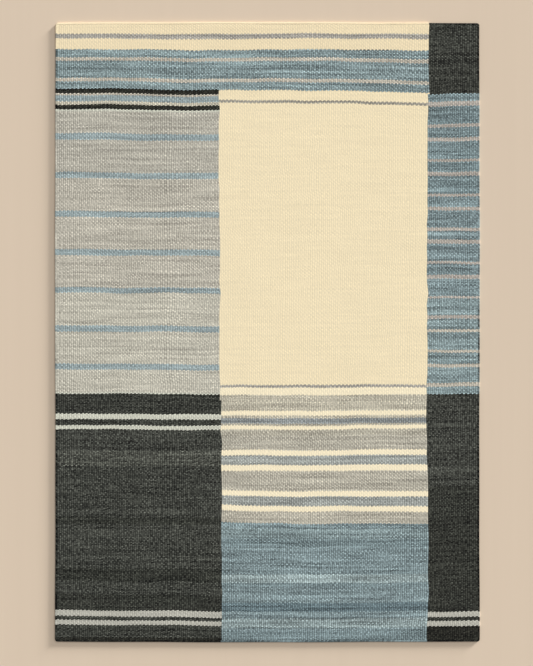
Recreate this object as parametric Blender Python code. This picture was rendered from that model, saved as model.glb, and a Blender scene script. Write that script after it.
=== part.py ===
"""A flat-woven dhurrie rug, lying flat on the floor. Metres, +Z up.

The rug is woven in one piece, so it is one solid. +X runs across the warps, from side to side, and +Y along
them, from end to end. The origin is under the rug's middle, on the floor.

The solid is a loft: one section runs in from the rug's edge, and each point of it becomes a ring that
goes round the whole outline. The section is the corded edge, which stands a little proud of the field.
"""

import math

import bmesh
import bpy

# The rug, in metres.
WIDTH = 1.220
LENGTH = 1.780
FIELD_THICKNESS = 0.005
CORNER_RADIUS = 0.007

# The corded edge: weft turned round thicker warps at the sides, and the turned ends.
CORD_THICKNESS = 0.006
CORD_RADIUS = CORD_THICKNESS / 2
GROOVE_INSET = 0.0066
GROOVE_DEPTH = 0.0004
FIELD_INSET = 0.0095
SMALLEST_CORNER = 0.0010

# How finely the outline and the section are divided.
SIDE_STEPS = 36
END_STEPS = 26
CORNER_STEPS = 5
CORD_STEPS = 8
SLOPE_STEPS = 3

# Handwoven edges are not quite straight. Each row is one slow wave of an edge, with its height in metres,
# the number of waves along the edge and where the wave starts, as a share of a turn.
SIDE_WAVES = (
    {"height": 0.0007, "waves": 1.5, "start": 0.10},
    {"height": 0.0003, "waves": 5.0, "start": 0.45},
)
END_WAVES = (
    {"height": 0.0008, "waves": 1.0, "start": 0.30},
    {"height": 0.0003, "waves": 4.0, "start": 0.80},
)

WOOL_COLOUR = (0.42, 0.43, 0.38, 1.0)
WOOL_ROUGHNESS = 0.9


def waviness(waves, along):
    """How far an edge strays outwards, where along runs from -0.5 at one end of it to 0.5 at the other."""
    turns = (row["waves"] * along + row["start"] for row in waves)
    return sum(row["height"] * math.sin(math.tau * turn) for row, turn in zip(waves, turns))


def woven_place(x, y):
    """Where a point of a true rectangle lies in the handwoven rug: its edges wander, its middle does not."""
    out = x / (WIDTH / 2) * waviness(SIDE_WAVES, y / LENGTH)
    up = y / (LENGTH / 2) * waviness(END_WAVES, x / WIDTH)
    return x + out, y + up


def steps(first, last, count):
    """count even steps from first towards last, without last."""
    return [first + (last - first) * i / count for i in range(count)]


def ring(inset):
    """The outline, moved inwards by inset, as a rounded rectangle that runs anticlockwise."""
    radius = max(CORNER_RADIUS - inset, SMALLEST_CORNER)
    reach_x = WIDTH / 2 - inset - radius
    reach_y = LENGTH / 2 - inset - radius
    quarter = math.pi / 2
    corners = ((1, 1), (-1, 1), (-1, -1), (1, -1))
    places = []
    for turn, (side_x, side_y) in enumerate(corners):
        centre_x, centre_y = side_x * reach_x, side_y * reach_y
        for angle in steps(turn * quarter, (turn + 1) * quarter, CORNER_STEPS):
            places.append((centre_x + radius * math.cos(angle), centre_y + radius * math.sin(angle)))
        next_x, next_y = corners[(turn + 1) % len(corners)]
        angle = (turn + 1) * quarter
        start = (centre_x + radius * math.cos(angle), centre_y + radius * math.sin(angle))
        end = (next_x * reach_x + radius * math.cos(angle), next_y * reach_y + radius * math.sin(angle))
        count = END_STEPS if turn % 2 == 0 else SIDE_STEPS
        places.extend(zip(steps(start[0], end[0], count), steps(start[1], end[1], count)))
    return [woven_place(x, y) for x, y in places]


def edge_section():
    """(inset, height) pairs from the floor, round the cord and over the groove to the field."""
    section = []
    for i in range(CORD_STEPS + 1):
        angle = math.pi * (i / CORD_STEPS - 0.5)
        section.append((CORD_RADIUS * (1 - math.cos(angle)), CORD_RADIUS * (1 + math.sin(angle))))
    groove = FIELD_THICKNESS - GROOVE_DEPTH
    slopes = (
        (CORD_RADIUS, CORD_THICKNESS, GROOVE_INSET, groove),
        (GROOVE_INSET, groove, FIELD_INSET, FIELD_THICKNESS),
    )
    for inset, height, next_inset, next_height in slopes:
        for i in range(1, SLOPE_STEPS + 1):
            share = i / SLOPE_STEPS
            eased = (1 - math.cos(math.pi * share)) / 2
            section.append((inset + (next_inset - inset) * share, height + (next_height - height) * eased))
    return section


def centred(shape):
    """Moves the shape so that the origin is under the middle of its box."""
    low_x, high_x = (pick(v.co.x for v in shape.verts) for pick in (min, max))
    low_y, high_y = (pick(v.co.y for v in shape.verts) for pick in (min, max))
    middle = (-(low_x + high_x) / 2, -(low_y + high_y) / 2, 0)
    bmesh.ops.translate(shape, verts=shape.verts, vec=middle)


def woven_rug():
    """The rug's mesh: the section's rings bridged one to the next, with a flat underside and field."""
    shape = bmesh.new()
    loops = []
    for inset, height in edge_section():
        corners = [shape.verts.new((x, y, height)) for x, y in ring(inset)]
        loops.append([shape.edges.new((a, b)) for a, b in zip(corners, corners[1:] + corners[:1])])
    bmesh.ops.edgenet_fill(shape, edges=loops[0])
    bmesh.ops.edgenet_fill(shape, edges=loops[-1])
    for lower, upper in zip(loops, loops[1:]):
        bmesh.ops.bridge_loops(shape, edges=lower + upper)
    bmesh.ops.recalc_face_normals(shape, faces=shape.faces)
    centred(shape)
    mesh = bpy.data.meshes.new("dhurrie_rug")
    shape.to_mesh(mesh)
    shape.free()
    return mesh


def wool():
    """Flat-woven wool, in the mean colour of the rug's cream, grey, blue and charcoal yarns."""
    material = bpy.data.materials.new("woven_wool")
    material.use_nodes = True
    shader = material.node_tree.nodes["Principled BSDF"]
    shader.inputs["Base Color"].default_value = WOOL_COLOUR
    shader.inputs["Roughness"].default_value = WOOL_ROUGHNESS
    shader.inputs["Metallic"].default_value = 0.0
    return material


def main():
    for old in list(bpy.data.objects):
        bpy.data.objects.remove(old)
    parts = bpy.data.collections.new("dhurrie_rug")
    bpy.context.scene.collection.children.link(parts)
    rug = bpy.data.objects.new("dhurrie_rug", woven_rug())
    parts.objects.link(rug)
    rug.data.materials.append(wool())
    rug.data.shade_smooth()
    rug.data.set_sharp_from_angle(angle=math.radians(50))


main()
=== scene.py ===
"""A flat-woven dhurrie rug: ribbed wool cloth with colour blocks and stripes, inside a corded edge.

The rug is a weft-faced plain weave. Strong cotton warps run from end to end, and the coloured wool weft is
beaten down until it hides them. Each pass of the weft, a pick, goes over every second warp, and the next pick
goes over the others, so the face is made of short floats that lie like bricks, one column to a warp.
"""

import bpy
import numpy as np
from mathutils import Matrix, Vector


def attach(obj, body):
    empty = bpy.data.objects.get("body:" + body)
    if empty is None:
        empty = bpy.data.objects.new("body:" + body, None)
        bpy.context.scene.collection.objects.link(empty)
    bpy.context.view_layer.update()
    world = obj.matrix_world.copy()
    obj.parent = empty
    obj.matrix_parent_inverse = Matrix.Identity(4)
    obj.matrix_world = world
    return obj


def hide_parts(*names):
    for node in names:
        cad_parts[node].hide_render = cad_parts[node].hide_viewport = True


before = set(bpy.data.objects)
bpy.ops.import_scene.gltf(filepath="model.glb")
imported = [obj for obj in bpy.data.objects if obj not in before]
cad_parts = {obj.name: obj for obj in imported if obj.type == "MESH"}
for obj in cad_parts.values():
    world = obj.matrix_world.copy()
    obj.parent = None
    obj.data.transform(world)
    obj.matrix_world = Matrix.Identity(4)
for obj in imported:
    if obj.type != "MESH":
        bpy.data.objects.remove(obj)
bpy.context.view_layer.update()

# ---------------------------------------------------------------------------------------------------------
# Sizes, in metres.

WIDTH = 1.220
LENGTH = 1.780
WARPS = 218
PICKS = 928
WARP_PITCH = WIDTH / WARPS
PICK_PITCH = LENGTH / PICKS

FIELD_TOP = 0.0053
CORNER_RADIUS = 0.007

# The ribs: their height, and the half width of the groove between two of them, as a share of the warps' pitch.
RIB_HEIGHT = 0.00010
RIB_GROOVE = 0.12

# The cloth's border: how deep, how far in and how wide its shallow dip is, and how far it tucks under the cord.
DIP_DEPTH, DIP_INSET, DIP_SPREAD = 0.0001, 0.0058, 0.0016
TUCK_DEPTH, TUCK_INSET = 0.002, 0.0045

# Where the cloth is divided down its length: so far from either end, in millimetres, and in even rows between.
NEAR_ENDS = (3.0, 5.0, 6.2, 7.4, 9.5, 14.0)
EVEN_ROWS = 52

# The cloth is a little slack: how high its waves are, how long they are across and down, and how far those
# across bend to and fro on their way down, as a share of a wave, and over which length.
SLACK_HEIGHT, SLACK_ACROSS, SLACK_DOWN = 0.00012, 0.31, 0.43
SLACK_BEND, BEND_LENGTH = 0.4, 0.2

# The wrapped cord: its radius, the length of one turn of the weft, how much it narrows between two turns as a
# share of its radius, and how far a turn leans from the cord's middle to its side, as a share of a turn.
CORD_RADIUS = 0.003
CORD_WRAP = 0.0042
CORD_GROOVE = 0.05
CORD_LEAN = 0.35

# A quarter of the cord's section, from its top round to its side: how far out and up, as shares of its radius.
CORD_SECTION = ((0.0, 0.79), (0.58, 0.79), (0.78, 0.775), (0.91, 0.71), (0.98, 0.54), (1.0, 0.30))

# How much deeper the cord's lower half is than its upper half, so that it lies on the floor.
CORD_DEPTH = 1.26

# The line of the cord's middle has so many points at each corner, and so many steps along each side.
CORNER_POINTS = 12
SIDE_STEPS = 400

# The cord's mesh has so many rings to a turn. Its map for baking has so many rows, each with a margin.
CORD_RINGS = 2
BAKE_ROWS = 16
ROW_MARGIN = 0.06

# The slow waves of the sides and of the ends, as the solid has them.
SIDE_WAVES = ((0.0007, 1.5, 0.10), (0.0003, 5.0, 0.45))
END_WAVES = ((0.0008, 1.0, 0.30), (0.0003, 4.0, 0.80))

# How far the picks sag below a level line, in picks. A row is a place down the rug, a column one across it.
SAG_DOWN = (0, 23, 42, 54, 99, 126, 229, 551, 642, 750, 881, 928)
SAG_ACROSS = (0.0, 0.39, 0.63, 0.88, 1.0)
SAG = (
    (0.0, 0.0, 0.0, 0.0, 0.0),
    (0.0, 2.3, 0.7, 1.2, 1.0),
    (0.0, 2.3, 1.0, 2.2, 2.0),
    (0.0, 2.4, 1.4, 4.9, 4.3),
    (0.0, 2.5, 2.1, 5.4, 4.8),
    (0.0, 3.0, 2.9, 6.1, 5.0),
    (0.0, 1.5, 1.5, 2.3, 2.3),
    (0.6, 1.9, 1.6, 1.3, 0.8),
    (1.3, 1.6, 1.4, 0.2, -0.6),
    (0.0, 1.8, 3.8, 3.8, 2.3),
    (0.0, 2.1, 2.3, 1.5, 0.5),
    (0.0, 0.0, 0.0, 0.0, 0.0),
)

# The finer waver of the picks. A row is a height in picks, the waves across the rug, the picks down it to one
# wave, and where the wave starts, as a share of a turn. It dies away over so many picks at either end.
WAVER = ((0.34, 3.3, 470, 0.0), (0.23, 7.1, -333, 0.3), (0.16, 13.7, 264, 0.6))
CALM_PICKS = 34

# How far the warps at the two joins of the design lean to the right of a straight line, in millimetres.
LEAN_ACROSS = (0.0, 0.387, 0.880, 1.0)
LEAN = (
    {"pick": 0, "first": 0.7, "second": 0.6},
    {"pick": 49, "first": 0.7, "second": -2.2},
    {"pick": 100, "first": 0.9, "second": 1.8},
    {"pick": 120, "first": 2.4, "second": 2.6},
    {"pick": 161, "first": 0.8, "second": 1.6},
    {"pick": 229, "first": -0.2, "second": 1.8},
    {"pick": 283, "first": 1.9, "second": 1.8},
    {"pick": 325, "first": 2.9, "second": -0.4},
    {"pick": 400, "first": 2.8, "second": 1.6},
    {"pick": 437, "first": 1.2, "second": 1.0},
    {"pick": 513, "first": 0.5, "second": 1.5},
    {"pick": 547, "first": 3.4, "second": -0.4},
    {"pick": 587, "first": 0.1, "second": -1.8},
    {"pick": 609, "first": -1.0, "second": -1.0},
    {"pick": 632, "first": 2.4, "second": -0.3},
    {"pick": 685, "first": 1.9, "second": 1.8},
    {"pick": 727, "first": 4.0, "second": 2.8},
    {"pick": 761, "first": 0.9, "second": 3.4},
    {"pick": 805, "first": 3.6, "second": 2.8},
    {"pick": 865, "first": 4.8, "second": 2.4},
    {"pick": 903, "first": 3.6, "second": -1.6},
    {"pick": 928, "first": 3.2, "second": -2.4},
)

# The warps lean and wander less and less over so many of them next to either side.
CALM_WARPS = 12

WEAVE_MAP = "warps_and_picks"
TURNS_MAP = "cord_turns"
BAKE_MAP = "OFBake"

# ---------------------------------------------------------------------------------------------------------
# The weaver's chart.

# Each dye lot of yarn: its colour on screen, from 0 to 255, and how mottled it is, from 0 to 1.
YARNS = {
    "cream": ((239, 223, 187), 0.06),
    "warm cream": ((236, 219, 183), 0.06),
    "pale cream": ((244, 231, 199), 0.06),
    "slate": ((159, 155, 146), 0.26),
    "deep slate": ((145, 141, 130), 0.26),
    "blue": ((115, 129, 130), 0.45),
    "light blue": ((126, 139, 139), 0.45),
    "dull blue": ((110, 124, 126), 0.45),
    "dark blue": ((105, 119, 121), 0.45),
    "deep blue": ((90, 105, 109), 0.45),
    "dusty blue": ((128, 132, 131), 0.32),
    "misty blue": ((147, 150, 145), 0.32),
    "pale blue": ((141, 154, 155), 0.29),
    "oat": ((182, 175, 161), 0.24),
    "dull oat": ((168, 161, 152), 0.24),
    "black": ((39, 40, 36), 1.00),
    "deep black": ((25, 25, 21), 1.00),
    "charcoal": ((42, 43, 39), 1.00),
    "light charcoal": ((52, 53, 48), 1.00),
    "dark charcoal": ((33, 34, 30), 1.00),
    "silver": ((179, 173, 156), 0.27),
    "dull silver": ((171, 166, 152), 0.27),
    "taupe": ((167, 162, 147), 0.27),
    "heather": ((172, 168, 156), 0.25),
    "fair heather": ((178, 173, 160), 0.25),
    "light heather": ((184, 180, 166), 0.23),
    "white": ((198, 198, 183), 0.13),
    "grey white": ((177, 175, 164), 0.15),
}

# Yarn and number of picks, from the top end down.
TOP_BAND = (
    ("warm cream", 16),
    ("slate", 7),
    ("warm cream", 16),
    ("blue", 12),
    ("oat", 5),
    ("blue", 26),
    ("oat", 5),
)
LEFT_HEAD = (
    ("blue", 11),
    ("deep black", 7),
    ("oat", 3),
    ("pale blue", 9),
    ("silver", 5),
    ("deep black", 7),
    ("white", 3),
)
FIELD_GROUNDS = ("heather",) * 2 + ("fair heather",) * 3 + ("light heather",) * 2
FIELD_GAPS = (33, 49, 49, 48, 48, 49, 48)
FIELD_STRIPES = (10, 9, 9, 9, 8, 9, 9)
LEFT_FOOT = (
    ("light heather", 34),
    ("white", 2),
    ("black", 30),
    ("white", 8),
    ("black", 9),
    ("white", 6),
    ("charcoal", 32),
    ("light charcoal", 23),
    ("charcoal", 77),
    ("dark charcoal", 11),
    ("charcoal", 66),
    ("dark charcoal", 19),
    ("charcoal", 20),
    ("dark charcoal", 24),
    ("grey white", 9),
    ("black", 6),
    ("grey white", 7),
    ("black", 19),
    ("deep black", 7),
)
MIDDLE = (
    ("blue", 12),
    ("cream", 15),
    ("deep slate", 4),
    ("cream", 423),
    ("slate", 4),
    ("pale cream", 11),
    ("silver", 24),
    ("pale cream", 7),
    ("silver", 4),
    ("dusty blue", 8),
    ("taupe", 3),
    ("pale cream", 6),
    ("taupe", 9),
    ("dull silver", 22),
    ("pale cream", 8),
    ("misty blue", 14),
    ("pale cream", 9),
    ("dull silver", 29),
    ("pale cream", 8),
    ("misty blue", 14),
    ("pale cream", 8),
    ("dull silver", 18),
    ("dull blue", 8),
    ("blue", 15),
    ("dark blue", 13),
    ("dull blue", 41),
    ("light blue", 13),
    ("dark blue", 7),
    ("dull blue", 23),
    ("deep blue", 13),
    ("dull blue", 11),
    ("light blue", 15),
    ("dull blue", 5),
    ("dark blue", 17),
)
LADDER_GAPS = (11, 27, 16, 28, 16, 27, 16, 26, 13, 27, 16, 26, 26, 16, 27, 17, 23)
LADDER_GROUNDS = ("dark blue",) * 6 + ("dull blue",) * 6 + ("blue",) * 5
LADDER_STRIPES = (7, 5, 6, 4, 6, 4, 5, 5, 6, 4, 6, 3, 5, 4, 4, 5, 6)
LADDER_YARNS = ("dull oat",) * 13 + ("oat",) * 4
RIGHT_FOOT = (
    ("blue", 11),
    ("charcoal", 138),
    ("dark charcoal", 189),
    ("grey white", 8),
    ("dark charcoal", 6),
    ("grey white", 8),
    ("deep black", 24),
)


def striped(grounds, stripes, gaps, widths):
    """Stripes on a ground, each with its own dye lot, as a list of (yarn, picks)."""
    rows = []
    for ground, stripe, gap, width in zip(grounds, stripes, gaps, widths):
        rows += [(ground, gap), (stripe, width)]
    return rows


LEFT_CHART = [
    *TOP_BAND,
    *LEFT_HEAD,
    *striped(FIELD_GROUNDS, ("pale blue",) * 7, FIELD_GAPS, FIELD_STRIPES),
    *LEFT_FOOT,
]
MIDDLE_CHART = [*TOP_BAND, *MIDDLE]
RIGHT_CHART = [("black", 101), *striped(LADDER_GROUNDS, LADDER_YARNS, LADDER_GAPS, LADDER_STRIPES), *RIGHT_FOOT]

# ---------------------------------------------------------------------------------------------------------
# Shapes.


def waves(rows, along):
    """A sum of sines: each row is its height, the number of waves along the edge and where it starts."""
    return sum(height * np.sin(2 * np.pi * (count * along + start)) for height, count, start in rows)


def woven_place(x, y):
    """A point of the true rectangle moved as the handwoven outline wanders: most at the edges, none mid-rug."""
    out = x / (WIDTH / 2) * waves(SIDE_WAVES, y / LENGTH)
    up = y / (LENGTH / 2) * waves(END_WAVES, x / WIDTH)
    return x + out, y + up


def eased(places, known, values):
    """Values between known places, easing in and out of each one with half a cosine wave."""
    known, values = np.asarray(known, float), np.asarray(values, float)
    at = np.clip(np.searchsorted(known, places, side="right") - 1, 0, len(known) - 2)
    share = np.clip((places - known[at]) / (known[at + 1] - known[at]), 0, 1)
    share = (1 - np.cos(np.pi * share)) / 2
    return values[at] * (1 - share) + values[at + 1] * share


def sag(warp, pick):
    """How many picks a point of the weft lies lower than its pick's level line: the table, eased along both
    ways, and a small waver of three sines that dies away at the ends."""
    across = warp / WARPS
    total = 0
    for column, share in zip(np.transpose(SAG), np.eye(len(SAG_ACROSS))):
        total = total + eased(pick, SAG_DOWN, column) * eased(across, SAG_ACROSS, share)
    waver = 0
    for height, count, picks, start in WAVER:
        waver = waver + height * np.sin(2 * np.pi * (across * count + pick / picks + start))
    calm = np.clip(np.minimum(pick, PICKS - pick) / CALM_PICKS, 0, 1)
    return total + waver * calm


# The warps at which the blocks of the design meet, and the sides: these lie where they should.
HELD_WARPS = (0, 1, 84, 85, 191, 192, WARPS - 1, WARPS)

# How unevenly the reed spaces the warps, as shares of their pitch: so many together, and each by itself.
CROWD = 5
CROWDING, STRAYING = 0.10, 0.06


def warp_stray():
    """How far each gap between two warps lies off its even place, as a share of the warps' pitch. The teeth of
    the reed are uneven, so in some places the warps crowd and in others they stand apart."""
    draw = np.random.default_rng(5)
    crowding = np.convolve(draw.normal(0, CROWDING, WARPS), np.ones(CROWD) / CROWD ** 0.5, "same")
    stray = np.concatenate([[0], np.cumsum(crowding)]) + draw.normal(0, STRAYING, WARPS + 1)
    return stray - np.interp(np.arange(WARPS + 1), HELD_WARPS, stray[list(HELD_WARPS)])


WARP_STRAY = warp_stray()

# The slow waves in which the warps wander, in metres: their number, the height of each, and by draw its length,
# its direction and its start.
WANDER_WAVES = 9
WANDER_HEIGHT = 0.0005
WANDER_DRAW = np.random.default_rng(11)
WANDER_LENGTH = WANDER_DRAW.uniform(0.065, 0.140, WANDER_WAVES)
WANDER_TURN = WANDER_DRAW.uniform(0, 2 * np.pi, WANDER_WAVES)
WANDER_START = WANDER_DRAW.uniform(0, 2 * np.pi, WANDER_WAVES)


def wander(x, y):
    """How far a warp lies to the right of its place because it was not held straight: a sum of sine waves that
    run over the rug in all directions."""
    total = 0
    for length, turn, start in zip(WANDER_LENGTH, WANDER_TURN, WANDER_START):
        total = total + np.sin(2 * np.pi / length * (x * np.cos(turn) + y * np.sin(turn)) + start)
    return WANDER_HEIGHT * total


def lean(across, pick):
    """How far the warps lean to the right, in metres: the table, eased along both ways."""
    picks = [row["pick"] for row in LEAN]
    first = eased(pick, picks, [row["first"] / 1000 for row in LEAN])
    second = eased(pick, picks, [row["second"] / 1000 for row in LEAN])
    return first * eased(across, LEAN_ACROSS, (0, 1, 0, 0)) + second * eased(across, LEAN_ACROSS, (0, 0, 1, 0))


def cloth_place(warp, pick):
    """(x, y) of the cloth at so many warps from the left side and so many picks from the top end. The warps
    lean and wander, less so next to the sides, and each lies a little off its even place."""
    x = (warp / WARPS - 0.5) * WIDTH
    y = (0.5 - (pick + sag(warp, pick)) / PICKS) * LENGTH
    calm = np.clip(np.minimum(warp, WARPS - warp) / CALM_WARPS, 0, 1)
    stray = WARP_PITCH * np.interp(warp, np.arange(WARPS + 1), WARP_STRAY)
    x = x + stray + calm * (wander(x, y) + lean(warp / WARPS, pick))
    return woven_place(x, y)


def rib(warp):
    """The flat back of a warp, from 0 in the narrow groove between two warps to 1 on top of one."""
    from_groove = 0.5 - np.abs(warp - np.floor(warp) - 0.5)
    return np.sin(np.pi / 2 * np.clip(from_groove / RIB_GROOVE, 0, 1))


def cloth():
    """The ribbed cloth, as a function of warps across and picks down: two faces, with a wall between their
    borders. The upper face's height is the cloth's, less the groove between two warps, less a dip next to the
    edge that fades as a bell curve does, plus the slack, which is a sine across that bends with a sine down,
    times another sine down. The lower face lies on the floor and has only the grooves."""
    edge = CORD_RADIUS / WARP_PITCH
    warp = (np.arange(WARPS)[:, None] + (0, RIB_GROOVE, 1 - RIB_GROOVE)).ravel()
    warp = np.unique(np.clip(warp, edge, WARPS - edge))
    near = np.array(NEAR_ENDS) / 1000 / PICK_PITCH
    inner = np.linspace(near[-1], PICKS - near[-1], EVEN_ROWS + 2)[1:-1]
    pick = np.concatenate([near, inner, PICKS - near[::-1]])
    warp, pick = np.meshgrid(warp, pick)
    x, y = cloth_place(warp, pick)
    inset = np.minimum(np.minimum(warp, WARPS - warp) * WARP_PITCH, np.minimum(pick, PICKS - pick) * PICK_PITCH)
    dip = DIP_DEPTH * np.exp(-((inset - DIP_INSET) / DIP_SPREAD) ** 2) + TUCK_DEPTH * (inset < TUCK_INSET)
    slack = SLACK_HEIGHT * np.sin(2 * np.pi * (x / SLACK_ACROSS + SLACK_BEND * np.sin(y / BEND_LENGTH)))
    slack = slack * np.sin(2 * np.pi * y / SLACK_DOWN)
    top = FIELD_TOP - RIB_HEIGHT * (1 - rib(warp)) - dip + slack
    under = RIB_HEIGHT * (1 - rib(warp))
    rows, columns = x.shape
    points = np.concatenate(
        [np.stack([x, y, top], -1).reshape(-1, 3), np.stack([x, y, under], -1).reshape(-1, 3)]
    )
    weave = np.tile(np.stack([warp, pick], -1).reshape(-1, 2), (2, 1))
    index = np.arange(rows * columns).reshape(rows, columns)
    upper = np.stack([index[1:, :-1], index[1:, 1:], index[:-1, 1:], index[:-1, :-1]], -1).reshape(-1, 4)
    lower = upper[:, ::-1] + rows * columns
    border = np.concatenate([index[0, :-1], index[:-1, -1], index[-1, :0:-1], index[:0:-1, 0]])
    after = np.roll(border, -1)
    wall = np.stack([border, after, after + rows * columns, border + rows * columns], -1)
    faces = np.concatenate([upper, lower, wall])
    return piece("woven_cloth", points, faces, {WEAVE_MAP: weave[faces], BAKE_MAP: flat_map(points)[faces]})


def flat_map(points):
    """The cloth laid on the unit square, both faces alike, because they carry the same weave."""
    return np.stack([points[:, 0] / WIDTH + 0.5, points[:, 1] / LENGTH + 0.5], -1) * 0.998 + 0.001


def cord_line():
    """The line of the cord's middle: a rounded rectangle, run anticlockwise and closed, that wanders as the
    handwoven outline does. Gives (x, y) of its points, and the length walked up to each of them."""
    radius = CORNER_RADIUS - CORD_RADIUS
    reach = np.array([WIDTH / 2 - CORNER_RADIUS, LENGTH / 2 - CORNER_RADIUS])
    corners = []
    for turn, side in enumerate(((1, 1), (-1, 1), (-1, -1), (1, -1))):
        angle = np.linspace(0, np.pi / 2, CORNER_POINTS) + turn * np.pi / 2
        corners.append(side * reach + radius * np.stack([np.cos(angle), np.sin(angle)], -1))
    walk = []
    for corner, after in zip(corners, corners[1:] + corners[:1]):
        share = np.linspace(0, 1, SIDE_STEPS + 1)[1:-1, None]
        walk += [corner, corner[-1] * (1 - share) + after[0] * share]
    walk = np.concatenate(walk)
    walk = np.stack(woven_place(walk[:, 0], walk[:, 1]), -1)
    line = np.concatenate([walk, walk[:1]])
    walked = np.concatenate([[0], np.cumsum(np.linalg.norm(np.diff(line, axis=0), axis=1))])
    return line, walked


def cord_section():
    """The whole section of the cord, anticlockwise from its outer side: a flattened round, whose lower half is
    CORD_DEPTH times as deep as its upper half."""
    out, up = np.array(CORD_SECTION).T
    quarter = np.stack([out[::-1], up[::-1]], -1)
    upper = np.concatenate([quarter, quarter[-2::-1] * (-1, 1)])
    return np.concatenate([upper, upper[::-1] * (1, -CORD_DEPTH)])


def corded_edge():
    """The wrapped cord round the rug: a flattened round carried along the outline, which swells over each turn
    of the weft as the power 0.6 of a sine, and narrows between two turns. The turns lean, so the swell starts
    later round the section. For baking, the cord's skin is cut into rows that lie one above the other."""
    section = cord_section()
    sides = len(section)
    line, walked = cord_line()
    turns = round(walked[-1] / CORD_WRAP / BAKE_ROWS) * BAKE_ROWS
    rings = turns * CORD_RINGS
    at = np.arange(rings) / rings * walked[-1]
    middle = np.stack([np.interp(at, walked, line[:, i]) for i in range(2)], -1)
    ahead = np.roll(middle, -1, 0) - np.roll(middle, 1, 0)
    ahead /= np.linalg.norm(ahead, axis=1, keepdims=True)
    outward = np.stack([ahead[:, 1], -ahead[:, 0]], -1)
    turn = np.arange(rings)[:, None] / CORD_RINGS + CORD_LEAN * section[:, 0]
    swell = np.abs(np.sin(np.pi * turn)) ** 0.6
    radius = CORD_RADIUS * (1 - CORD_GROOVE * (1 - swell))
    across = radius * section[:, 0]
    x = middle[:, 0, None] + outward[:, 0, None] * across
    y = middle[:, 1, None] + outward[:, 1, None] * across
    z = CORD_RADIUS + radius * section[:, 1]
    points = np.stack([x, y, z], -1).reshape(-1, 3)
    ring, side = np.meshgrid(np.arange(rings), np.arange(sides), indexing="ij")
    corner_ring = np.stack([ring, ring + 1, ring + 1, ring], -1).reshape(-1, 4)
    corner_side = np.stack([side, side, side + 1, side + 1], -1).reshape(-1, 4)
    faces = corner_ring % rings * sides + corner_side % sides
    row, within = np.divmod(corner_ring[:, :1], rings // BAKE_ROWS)
    along = (corner_ring - corner_ring[:, :1] + within) / (rings // BAKE_ROWS)
    up = ROW_MARGIN + (1 - 2 * ROW_MARGIN) * corner_side / sides
    strip = np.stack([along, (row + up) / BAKE_ROWS], -1)
    wrapped = corner_ring / CORD_RINGS + CORD_LEAN * section[corner_side % sides, 0]
    wrap = np.stack([wrapped, corner_side / sides], -1)
    weave = np.stack([(points[:, 0] / WIDTH + 0.5) * WARPS, (0.5 - points[:, 1] / LENGTH) * PICKS], -1)
    weave = np.stack([np.clip(weave[:, 0], 0.5, WARPS - 0.5), np.clip(weave[:, 1], 0.5, PICKS - 0.5)], -1)
    weave[:, 1] -= sag(weave[:, 0], weave[:, 1])
    maps = {WEAVE_MAP: weave[faces], TURNS_MAP: wrap, BAKE_MAP: strip}
    return piece("corded_edge", points, faces, maps)


def piece(name, points, faces, maps):
    """A new smooth-shaded object, with its place in its mesh and a map for each entry in maps."""
    mesh = bpy.data.meshes.new(name)
    mesh.vertices.add(len(points))
    mesh.vertices.foreach_set("co", points.astype(np.float32).ravel())
    mesh.loops.add(faces.size)
    mesh.loops.foreach_set("vertex_index", faces.astype(np.int32).ravel())
    mesh.polygons.add(len(faces))
    mesh.polygons.foreach_set("loop_start", np.arange(0, faces.size, 4, dtype=np.int32))
    for map_name, places in maps.items():
        layer = mesh.uv_layers.new(name=map_name, do_init=False)
        layer.data.foreach_set("uv", places.astype(np.float32).ravel())
    mesh.update(calc_edges=True)
    mesh.shade_smooth()
    rug_piece = bpy.data.objects.new(name, mesh)
    bpy.context.scene.collection.objects.link(rug_piece)
    return rug_piece


# ---------------------------------------------------------------------------------------------------------
# Materials.


def linear(colour):
    """A screen colour, from 0 to 255, as the light it stands for."""
    share = np.asarray(colour) / 255
    return tuple(np.where(share <= 0.04045, share / 12.92, ((share + 0.055) / 1.055) ** 2.4)) + (1.0,)


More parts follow.
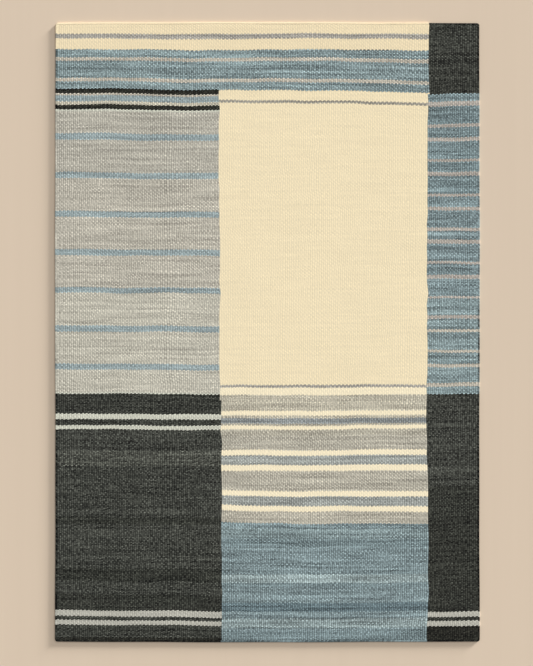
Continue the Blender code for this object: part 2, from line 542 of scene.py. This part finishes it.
class Tree:
    """Adds nodes to one node tree. Most methods give back the new node's output, ready to be an input."""

    def __init__(self, tree):
        self.tree = tree

    def feed(self, node, inputs):
        """Links or sets the node's inputs, each by its name or its number."""
        for socket, value in dict(inputs).items():
            if isinstance(value, bpy.types.NodeSocket):
                self.tree.links.new(value, node.inputs[socket])
            else:
                node.inputs[socket].default_value = value

    def new(self, kind, inputs=(), **settings):
        """The new node itself."""
        node = self.tree.nodes.new("ShaderNode" + kind)
        for name, value in settings.items():
            setattr(node, name, value)
        self.feed(node, inputs)
        return node

    def put(self, kind, inputs=(), output=0, **settings):
        """One output of a new node."""
        return self.new(kind, inputs, **settings).outputs[output]

    def maths(self, operation, *values):
        """The outcome of one operation on the values."""
        return self.put("Math", dict(enumerate(values)), operation=operation)

    def times(self, *values):
        """All values multiplied."""
        total = values[0]
        for value in values[1:]:
            total = self.maths("MULTIPLY", total, value)
        return total

    def plus(self, *values):
        """All values added up."""
        total = values[0]
        for value in values[1:]:
            total = self.maths("ADD", total, value)
        return total

    def minus(self, first, second):
        """The first value less the second."""
        return self.maths("SUBTRACT", first, second)

    def whole(self, value):
        """The whole number at or just under value."""
        return self.maths("FLOOR", value)

    def below(self, value, limit):
        """1 where value is less than limit, and 0 elsewhere."""
        return self.maths("LESS_THAN", value, limit)

    def between(self, value, low, high, to_low=0.0, to_high=1.0, ease="LINEAR"):
        """value carried from the range low to high to another range, and held at its ends."""
        ends = {0: value, 1: low, 2: high, 3: to_low, 4: to_high}
        return self.put("MapRange", ends, interpolation_type=ease)

    def point(self, x=0.0, y=0.0, z=0.0):
        """The three values as one place."""
        return self.put("CombineXYZ", {0: x, 1: y, 2: z})

    def random(self, x=0.0, y=0.0, z=0.0):
        """A number from 0 to 1 that is the same wherever x, y and z are the same. The last one given is often
        the same everywhere, and only keeps one kind of draw apart from another."""
        return self.put("TexWhiteNoise", {0: self.point(x, y, z)}, noise_dimensions="3D")

    def noise(self, vector, scale, detail=2.0, rough=0.5):
        """Smooth noise from 0 to 1, with scale bumps or so to each unit of the vector."""
        inputs = {"Vector": vector, "Scale": scale, "Detail": detail, "Roughness": rough}
        return self.put("TexNoise", inputs, noise_dimensions="3D")

    def mix(self, share, first, second, blend="MIX"):
        """The first colour where share is 0, the second where it is 1, or their blend of that kind."""
        ends = {0: share, 6: first, 7: second}
        return self.put("Mix", ends, output=2, data_type="RGBA", blend_type=blend)

    def choose(self, share, first, second):
        """The first value where share is 0, the second where it is 1."""
        return self.put("Mix", {0: share, 2: first, 3: second}, data_type="FLOAT")

    def on_map(self, name):
        """Both coordinates of the piece's map of that name."""
        return self.new("SeparateXYZ", {0: self.put("UVMap", uv_map=name)}).outputs[:2]

    def use(self, group, **inputs):
        """The outputs of a node group, by name."""
        return self.new("Group", inputs, node_tree=group).outputs


def group(name, inputs, outputs):
    """An empty node group, its Tree, the inputs given to it, and the node that its results are fed to."""
    tree = bpy.data.node_groups.new(name, "ShaderNodeTree")
    for label, kind in inputs.items():
        tree.interface.new_socket(name=label, in_out="INPUT", socket_type="NodeSocket" + kind)
    for label, kind in outputs.items():
        tree.interface.new_socket(name=label, in_out="OUTPUT", socket_type="NodeSocket" + kind)
    return tree, Tree(tree), tree.nodes.new("NodeGroupInput").outputs, tree.nodes.new("NodeGroupOutput")


# The beating: how fast it changes from warp to warp and from pick to pick, and how far apart the highest and
# the lowest places of a row of floats can lie for it, in picks.
BEATEN_WARP, BEATEN_PICK = 0.04, 0.035
BEATEN_RISE = 3.0

# A float: how far it climbs across its warp, as a share of its height, the power with which its back falls to
# its long sides, and how fast its strands follow one another across it and up it.
FLOAT_LEAN = 0.22
SIDE_POWER = 2.6
STRANDS_ACROSS, STRANDS_UP = 9.0, 15.0


def float_group():
    """Which float of the weft a point is on, and how high the float stands there.

    Every second warp shows the even picks and the others the odd ones, and a float is two picks high and leans
    a little. The beater packs the picks unevenly, so the rows of floats rise and fall by up to a pick and a
    half. Side and End are 1 along the middle of a float's back. Side falls to 0 at its long sides with the
    power 2.6 of the way there, and End at its tips with the square. The twist of the yarn runs across the back
    as slanting strands, a sine of both ways that starts anywhere on each float."""
    made, tree, given, out = group(
        "weft_floats",
        {"Warps": "Float", "Picks": "Float"},
        {"Warp": "Float", "Pick": "Float", "Side": "Float", "End": "Float", "Strands": "Float"},
    )
    warp = tree.whole(given["Warps"])
    odd = tree.maths("MODULO", warp, 2.0)
    place = tree.point(tree.times(given["Warps"], BEATEN_WARP), tree.times(given["Picks"], BEATEN_PICK))
    beaten = tree.noise(place, 1.0, 1.0)
    picks = tree.plus(given["Picks"], tree.times(tree.minus(beaten, 0.5), BEATEN_RISE))
    halves = tree.times(tree.minus(tree.plus(picks, 0.5), odd), 0.5)
    across = tree.minus(tree.minus(given["Warps"], warp), 0.5)
    leaning = tree.plus(halves, tree.times(across, FLOAT_LEAN))
    row = tree.whole(leaning)
    up = tree.minus(tree.minus(leaning, row), 0.5)
    pick = tree.plus(tree.times(row, 2.0), odd)
    side = tree.minus(1.0, tree.maths("POWER", tree.maths("ABSOLUTE", tree.times(across, 2.0)), SIDE_POWER))
    end = tree.minus(1.0, tree.maths("POWER", tree.times(up, 2.0), 2.0))
    slant = tree.plus(tree.times(across, STRANDS_ACROSS), tree.times(up, STRANDS_UP))
    phase = tree.plus(slant, tree.times(tree.random(warp, pick), 6.3))
    strands = tree.plus(tree.times(tree.maths("SINE", phase), 0.5), 0.5)
    tree.feed(out, {"Warp": warp, "Pick": pick, "Side": side, "End": end, "Strands": strands})
    return made


# The pick at which each join of the design moves over by one warp, and the first warp beyond it after that.
FIRST_JOIN = (564.0, 85.0)
SECOND_JOIN = (101.0, 191.0)

# Blender reads a colour ramp at this many evenly spaced places, so a ramp that long holds one pick at each.
RAMP_PICKS = 255


def charted(tree, chart, pick):
    """The colour and the mottling of the yarn at a pick. The chart is cut into lengths of one ramp each."""
    starts = np.concatenate([[0], np.cumsum([count for _, count in chart])])
    colour = mottle = None
    for first in range(0, PICKS, RAMP_PICKS):
        ramp = tree.new("ValToRGB", {0: tree.times(tree.minus(pick, first - 0.5), 1 / RAMP_PICKS)})
        ramp.color_ramp.interpolation = "CONSTANT"
        stops = ramp.color_ramp.elements
        stops.remove(stops[1])
        for (yarn, _), start, end in zip(chart, starts, starts[1:]):
            if end <= first or start >= first + RAMP_PICKS:
                continue
            tone, mottled = YARNS[yarn]
            stop = stops[0] if start <= first else stops.new((start - first - 0.5) / RAMP_PICKS)
            stop.color = linear(tone)[:3] + (mottled,)
        if colour is None:
            colour, mottle = ramp.outputs[0], ramp.outputs[1]
        else:
            beyond = tree.minus(1.0, tree.below(pick, first))
            colour = tree.mix(beyond, colour, ramp.outputs[0])
            mottle = tree.choose(beyond, mottle, ramp.outputs[1])
    return colour, mottle


def chart_group():
    """The yarn's colour and mottling at a warp and a pick. The three blocks of the design meet at two joins,
    each of which moves over by one warp at one place."""
    made, tree, given, out = group(
        "weavers_chart", {"Warp": "Float", "Pick": "Float"}, {"Colour": "Color", "Mottle": "Float"}
    )
    warp, pick = given["Warp"], given["Pick"]
    first_join = tree.minus(FIRST_JOIN[1], tree.below(pick, FIRST_JOIN[0]))
    second_join = tree.plus(SECOND_JOIN[1], tree.below(pick, SECOND_JOIN[0]))
    left, left_mottle = charted(tree, LEFT_CHART, pick)
    middle, middle_mottle = charted(tree, MIDDLE_CHART, pick)
    right, right_mottle = charted(tree, RIGHT_CHART, pick)
    in_left = tree.below(warp, first_join)
    in_right = tree.minus(1.0, tree.below(warp, second_join))
    colour = tree.mix(in_right, tree.mix(in_left, middle, left), right)
    mottle = tree.choose(in_right, tree.choose(in_left, middle_mottle, left_mottle), right_mottle)
    tree.feed(out, {"Colour": colour, "Mottle": mottle})
    return made


# How much each unevenness of the yarn counts in its tone; the last is painted light and shade for warps that lie
# prouder or lower. Then how much the painted shade in the gaps at a float's sides and tips counts. SHADE_MIDDLE
# makes up for that painted shade, so that it leaves the mean tone as it is.
SLUB, DRIFT, STREAK, LINE, PROUD_WARP_SHADE = 1.5, 4.2, 1.4, 2.8, 0.15
SIDE_SHADE, TIP_SHADE, SHADE_MIDDLE = -2.3, -6.6, 2.8
DARKEST_TONE, TONE_POWER = 0.05, 1.4


def tone_group():
    """How light or dark the wool is at one float: 1 plus the mottling times a sum, never below 0.05, to the
    power of 1.4. The sum paints shade into the gaps at a float's sides and tips, and this painted shade grows
    with the mottling, because dark wool hides the light that falls between two floats and pale wool passes it
    on. The rest of the sum is this. The yarn is plied from a lighter and a darker strand, so of two
    neighbouring floats one is as much lighter as the other is darker. Each float also differs by itself. Both
    are stronger in mottled yarn. Hand-spun yarn thickens here and there for a few floats. Hand-dyed yarn
    changes along a pick in short, long and thin streaks, which are seen less in pale wool and in black: they
    count by 0.2 plus 2.6 times the mottling, or by 1.4 less 0.6 times it where that is smaller. And some warps
    are painted a little lighter or darker all down the rug, as light and shade on warps that lie prouder or
    lower."""
    made, tree, given, out = group(
        "dyed_tone_and_painted_shade",
        {"Warp": "Float", "Pick": "Float", "Side": "Float", "End": "Float", "Mottle": "Float"},
        {"Tone": "Float"},
    )
    warp, pick = given["Warp"], given["Pick"]
    row = tree.whole(tree.times(pick, 0.5))
    paired = tree.times(tree.plus(warp, tree.whole(tree.times(tree.random(row, 2.0), 2.0))), 0.5)
    pair = tree.whole(paired)
    side = tree.minus(tree.times(tree.minus(paired, pair), 4.0), 1.0)
    plied = tree.times(tree.minus(tree.random(pair, row, 6.0), 0.5), side)
    fleck = tree.minus(tree.random(warp, pick, 1.0), 0.5)
    # Painted light and shade: each warp a little lighter or darker all down the rug, as if it lay prouder or
    # lower.
    proud = tree.minus(tree.random(warp, 0.0, 5.0), 0.5)

    def drawn_out(each_warp, each_pick, start, detail, rough=0.5):
        """Noise from -0.5 to 0.5 that changes so fast from warp to warp and from pick to pick."""
        place = tree.point(tree.times(warp, each_warp), tree.times(pick, each_pick), start)
        return tree.minus(tree.noise(place, 1.0, detail, rough), 0.5)

    slub = drawn_out(0.07, 0.60, start=3.0, detail=1.0)
    streak = drawn_out(0.008, 0.14, start=7.0, detail=2.0)
    drift = drawn_out(0.028, 0.26, start=13.0, detail=2.0, rough=0.6)
    line = drawn_out(0.012, 0.48, start=11.0, detail=1.0)
    along = tree.plus(tree.times(drift, DRIFT), tree.times(streak, STREAK), tree.times(line, LINE))
    pale = tree.plus(0.2, tree.times(given["Mottle"], 2.6))
    seen = tree.maths("MINIMUM", pale, tree.minus(1.4, tree.times(given["Mottle"], 0.6)))
    total = tree.plus(
        tree.times(plied, tree.plus(tree.times(given["Mottle"], 1.2), 0.6)),
        tree.times(fleck, tree.plus(tree.times(given["Mottle"], 1.4), 0.1)),
        tree.times(slub, SLUB),
        tree.times(along, seen),
        tree.times(proud, PROUD_WARP_SHADE),
        # Painted shade: darker in the gaps at a float's sides and tips, lifted again in the middle by
        # SHADE_MIDDLE.
        tree.times(tree.minus(1.0, given["Side"]), SIDE_SHADE),
        tree.times(tree.minus(1.0, given["End"]), TIP_SHADE),
        SHADE_MIDDLE,
    )
    share = tree.maths("MAXIMUM", tree.plus(1.0, tree.times(total, given["Mottle"])), DARKEST_TONE)
    tree.feed(out, {"Tone": tree.maths("POWER", share, TONE_POWER)})
    return made


# Fibres to the metre, and how rough the wool is in its gaps and on the backs of its floats.
FIBRES = 2600.0
ROUGH_GAP, ROUGH_BACK = 0.98, 0.86


def wool(name, weave_tree):
    """A matt wool material. weave_tree(tree, shader) fills in what changes over the surface."""
    material = bpy.data.materials.new(name)
    material.use_nodes = True
    tree = Tree(material.node_tree)
    shader = material.node_tree.nodes["Principled BSDF"]
    shader.inputs["Metallic"].default_value = 0.0
    shader.inputs["Specular IOR Level"].default_value = 0.1
    shader.inputs["Sheen Weight"].default_value = 0.03
    shader.inputs["Sheen Roughness"].default_value = 0.6
    weave_tree(tree, shader)
    return material


def bumped(tree, shader, height, distance, strength):
    """Tilts the shader's normal as a surface of this height would, where a height of 1 is distance in metres."""
    normal = tree.put("Bump", {"Height": height, "Distance": distance, "Strength": strength})
    tree.feed(shader, {"Normal": normal})


def shaded(tree, colour, share):
    """The colour times share."""
    grey = tree.put("CombineColor", {0: share, 1: share, 2: share})
    return tree.mix(1.0, colour, grey, blend="MULTIPLY")


def flat_weave(floats, chart, tones):
    """The yarn of the chart at each float, times the float's tone and a painted shade across its strands:
    painted darker in the line between two strands and painted lighter on their backs, more so in mottled yarn. A
    float's back is the root of Side times End, and the bump adds strands and fibres to it, less in pale wool."""

    def fill(tree, shader):
        """Weaves the cloth's colour, roughness and bump."""
        warps, picks = tree.on_map(WEAVE_MAP)
        weft = tree.use(floats, Warps=warps, Picks=picks)
        yarn = tree.use(chart, Warp=weft["Warp"], Pick=weft["Pick"])
        back = tree.maths("SQRT", tree.maths("MAXIMUM", tree.times(weft["Side"], weft["End"]), 0.0))
        float_at = {name: weft[name] for name in ("Warp", "Pick", "Side", "End")}
        tone = tree.use(tones, Mottle=yarn["Mottle"], **float_at)["Tone"]
        # Painted shade in the line between two strands, and painted light on the strands' backs.
        strand_gap_shade = tree.minus(0.94, tree.times(yarn["Mottle"], 0.20))
        strand_back_light = tree.plus(1.05, tree.times(yarn["Mottle"], 0.11))
        strand = tree.between(weft["Strands"], 0.0, 1.0, strand_gap_shade, strand_back_light)
        colour = shaded(tree, yarn["Colour"], tree.times(tone, strand))
        rough = tree.between(back, 0.0, 1.0, ROUGH_GAP, ROUGH_BACK)
        tree.feed(shader, {"Base Color": colour, "Roughness": rough})
        fibres = tree.noise(tree.put("TexCoord", output=3), FIBRES, 3.0, 0.6)
        proud = tree.plus(back, tree.times(weft["Strands"], 0.30), tree.times(fibres, 0.35))
        height = tree.times(proud, tree.between(yarn["Mottle"], 0.10, 0.45, 0.25, 1.0))
        bumped(tree, shader, height, distance=0.0004, strength=0.4)

    return wool("woven_wool", fill)


# The place on a float whose tone, with the painted shade of the float's gaps there, a turn of the cord takes, so
# that its wool is as light as the cloth beside it.
TURN_AS_FLOAT = {"Pick": 3.0, "Side": 0.73, "End": 0.685}


def wrapped_cord(chart, tones):
    """The yarn of the pick beside it, times a tone for each turn of the weft. A turn's back falls to 0 at both
    its sides with the power 3 of the way there, and the gaps between two turns are painted darker, as shade,
    down to 0.8. The bump is the turn's back, with the yarn's strands and fibres on it."""

    def fill(tree, shader):
        """Winds the cord's colour, roughness and bump."""
        warps, picks = tree.on_map(WEAVE_MAP)
        turns, round_cord = tree.on_map(TURNS_MAP)
        yarn = tree.use(chart, Warp=tree.whole(warps), Pick=tree.whole(picks))
        turn = tree.whole(turns)
        tone = tree.use(tones, Warp=turn, **TURN_AS_FLOAT, Mottle=yarn["Mottle"])["Tone"]
        across = tree.maths("ABSOLUTE", tree.minus(tree.minus(turns, turn), 0.5))
        back = tree.minus(1.0, tree.maths("POWER", tree.times(across, 2.0), 3.0))
        # Painted shade in the gaps between two turns of the cord.
        gap = tree.between(back, 0.0, 0.5, 0.8, 1.0, "SMOOTHSTEP")
        colour = shaded(tree, yarn["Colour"], tree.times(tone, gap))
        rough = tree.between(back, 0.0, 1.0, ROUGH_GAP, ROUGH_BACK)
        tree.feed(shader, {"Base Color": colour, "Roughness": rough})
        phase = tree.plus(tree.times(turns, 19.0), tree.times(round_cord, 40.0))
        strands = tree.plus(tree.times(tree.maths("SINE", phase), 0.5), 0.5)
        fibres = tree.noise(tree.put("TexCoord", output=3), FIBRES, 3.0, 0.6)
        height = tree.plus(back, tree.times(strands, 0.25), tree.times(fibres, 0.30))
        bumped(tree, shader, height, distance=0.0005, strength=0.7)

    return wool("wrapped_wool", fill)


# ---------------------------------------------------------------------------------------------------------
# The rug.

floats, chart, tones = float_group(), chart_group(), tone_group()
woven_cloth = cloth()
edge_cord = corded_edge()
woven_cloth.data.materials.append(flat_weave(floats, chart, tones))
edge_cord.data.materials.append(wrapped_cord(chart, tones))
for rug_piece in (woven_cloth, edge_cord):
    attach(rug_piece, "root")
    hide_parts("dhurrie_rug")

# ---------------------------------------------------------------------------------------------------------
# The floor, the light and the camera.

# The photograph is 533 by 666 pixels, and the rug is 424.1 of them wide. The rug's middle lies this many
# pixels to the right of the photograph's middle and above it.
PIXEL = WIDTH / 424.1
VIEW_LENGTH = 666 * PIXEL
MIDDLE_RIGHT, MIDDLE_UP = 0.9, 0.65
LENS, SENSOR = 120.0, 36.0

# How far the floor reaches to each side, in metres, and the two colours on screen that its grain lies between.
FLOOR_REACH = 30
FLOOR_COLOURS = ((214, 195, 173), (216, 197, 175))

# The way to the light over the floor, to the right and up. The lights' shares of what makes a surface on the
# floor look its own colour add up to 1.
LIGHT_FROM = (0.75, 0.66)
WINDOW_LIGHT, CEILING_LIGHT, SKY_LIGHT = 0.36, 0.235, 0.405


def floor():
    """A plain pale floor: a large flat square at height 0, with a faint grain drawn out along the rug."""
    reach = np.linspace(-FLOOR_REACH, FLOOR_REACH, 3)
    x, y = np.meshgrid(reach, reach)
    points = np.stack([x, y, np.zeros_like(x)], -1).reshape(-1, 3)
    index = np.arange(9).reshape(3, 3)
    faces = np.stack([index[:-1, :-1], index[:-1, 1:], index[1:, 1:], index[1:, :-1]], -1).reshape(-1, 4)
    ground = piece("pale_floor", points, faces, {})
    material = bpy.data.materials.new("pale_floor")
    material.use_nodes = True
    tree = Tree(material.node_tree)
    shader = material.node_tree.nodes["Principled BSDF"]
    shader.inputs["Roughness"].default_value = 0.7
    shader.inputs["Specular IOR Level"].default_value = 0.2
    place = tree.put("TexCoord", output=3)
    drawn_out = tree.put("Mapping", {"Vector": place, "Scale": (22.0, 0.5, 1.0)})
    grain = tree.noise(drawn_out, 1.0, 4.0, 0.6)
    colour = tree.mix(tree.between(grain, 0.3, 0.7), *[linear(tone) for tone in FLOOR_COLOURS])
    tree.feed(shader, {"Base Color": colour})
    ground.data.materials.append(material)


def sun(name, height, spread, light):
    """A soft light from the upper right, height degrees above the floor and spread degrees wide. Its strength
    is its share of the light times pi, over the sine of its height, because a low light spreads thin."""
    data = bpy.data.lights.new(name, "SUN")
    data.angle = np.radians(spread)
    data.energy = light * np.pi / np.sin(np.radians(height))
    lamp = bpy.data.objects.new(name, data)
    level = np.cos(np.radians(height))
    toward = Vector((LIGHT_FROM[0] * level, LIGHT_FROM[1] * level, np.sin(np.radians(height))))
    lamp.rotation_euler = toward.to_track_quat("Z", "Y").to_euler()
    bpy.context.scene.collection.objects.link(lamp)


def sky(light):
    """An even white light from all around. Its strength is its share of the light, because under an even sky
    of strength 1 a surface looks its own colour."""
    world = bpy.data.worlds.new("studio")
    world.use_nodes = True
    background = world.node_tree.nodes["Background"]
    background.inputs["Color"].default_value = (1.0, 1.0, 1.0, 1.0)
    background.inputs["Strength"].default_value = light
    bpy.context.scene.world = world


def camera():
    """Straight above the rug, at the height at which the lens sees the photograph's frame on the floor."""
    data = bpy.data.cameras.new("overhead")
    data.lens, data.sensor_width = LENS, SENSOR
    data.clip_end = 100
    view = bpy.data.objects.new("overhead", data)
    height = VIEW_LENGTH * LENS / SENSOR
    view.location = (-MIDDLE_RIGHT * PIXEL, -MIDDLE_UP * PIXEL, height)
    bpy.context.scene.collection.objects.link(view)
    bpy.context.scene.camera = view


floor()
sun("window", height=7.8, spread=13.0, light=WINDOW_LIGHT)
sun("ceiling", height=55.0, spread=40.0, light=CEILING_LIGHT)
sky(SKY_LIGHT)
camera()
bpy.context.scene.view_settings.view_transform = "Standard"
